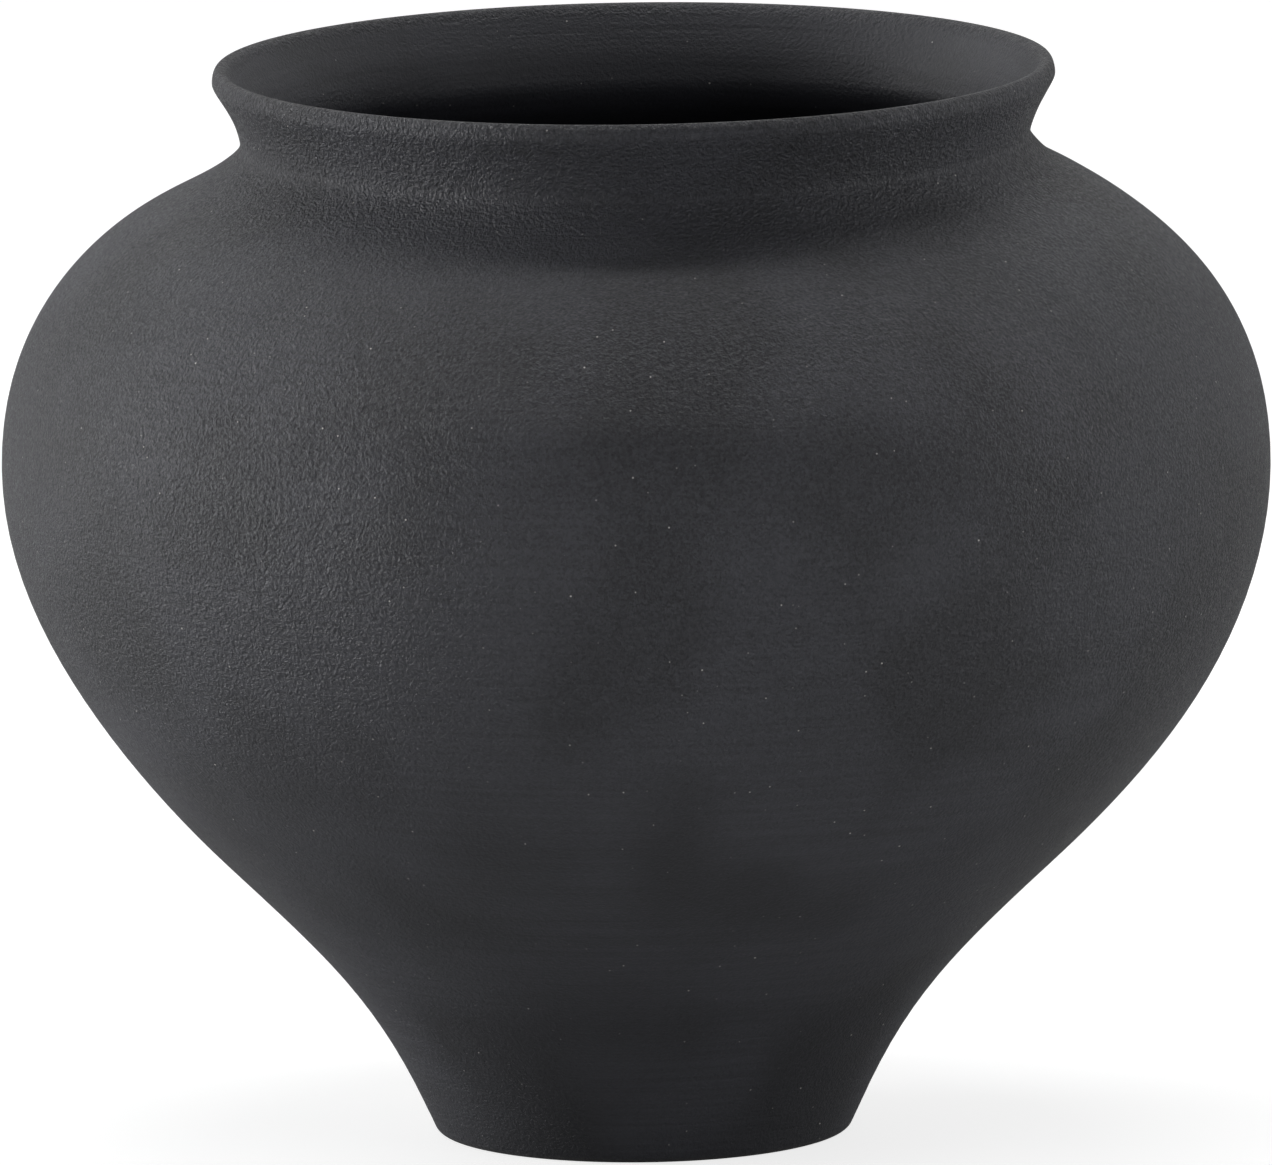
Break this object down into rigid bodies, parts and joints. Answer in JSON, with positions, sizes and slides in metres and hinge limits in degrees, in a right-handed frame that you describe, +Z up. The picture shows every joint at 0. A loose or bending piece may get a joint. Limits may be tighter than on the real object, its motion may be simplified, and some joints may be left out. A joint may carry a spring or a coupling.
{
  "type": "clay jar",
  "caption": "Wide round black clay jar on a narrow flared foot, with a short hollow-sided neck, a rolled lip and an open mouth.",
  "frame": {"origin": "middle of the foot, on the plane that the pot stands on", "axes": "+Z up along the axis that the pot is turned about; X and Y are level and interchangeable"},
  "size_m": [0.3, 0.3, 0.2555],
  "materials": {
    "black_clay": "matte unglazed charcoal-black fired clay with a fine sandy grain and faint turning lines"
  },
  "bodies": {
    "root": {"base_disc": "black_clay", "foot_wall": "black_clay", "flare_wall": "black_clay", "lower_belly": "black_clay", "shoulder": "black_clay", "neck_collar": "black_clay", "rim_lip": "black_clay"}
  },
  "joints": []
}
